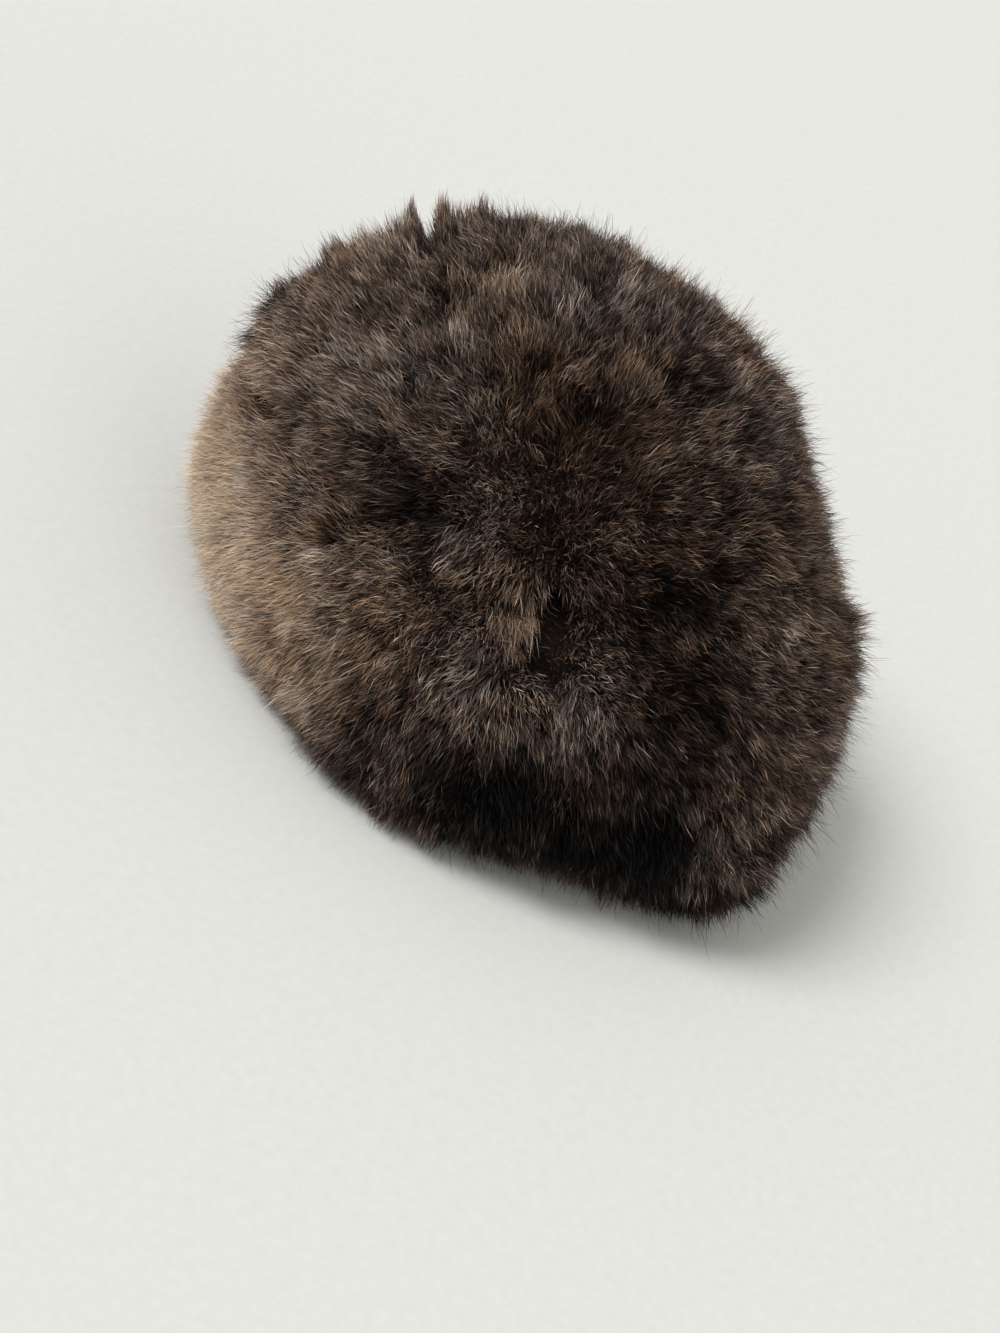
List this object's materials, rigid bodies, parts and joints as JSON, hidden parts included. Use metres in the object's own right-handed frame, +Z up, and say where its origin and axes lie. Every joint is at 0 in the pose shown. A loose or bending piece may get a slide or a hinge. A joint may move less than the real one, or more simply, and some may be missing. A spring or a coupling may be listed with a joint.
{
  "type": "round fur hat",
  "caption": "Round fur hat: a domed crown of combed dark fur on a thick fur band, fawn at the front, hollow for the head and resting on its rim.",
  "frame": {"origin": "under the middle of the whole hat, on the plane that its rim rests on", "axes": "+Z up through the top of the crown, -Y to the front of the hat with the pale fur, +X to the wearer's left"},
  "size_m": [0.2416, 0.2878, 0.1656],
  "materials": {
    "crown_fur": "plush combed fur, near-black brown at the root with grey-brown tips",
    "band_fur": "plush combed fur, dark brown to black, fading to pale fawn round the front"
  },
  "bodies": {
    "root": {"crown": "crown_fur", "band": "band_fur"}
  },
  "joints": []
}
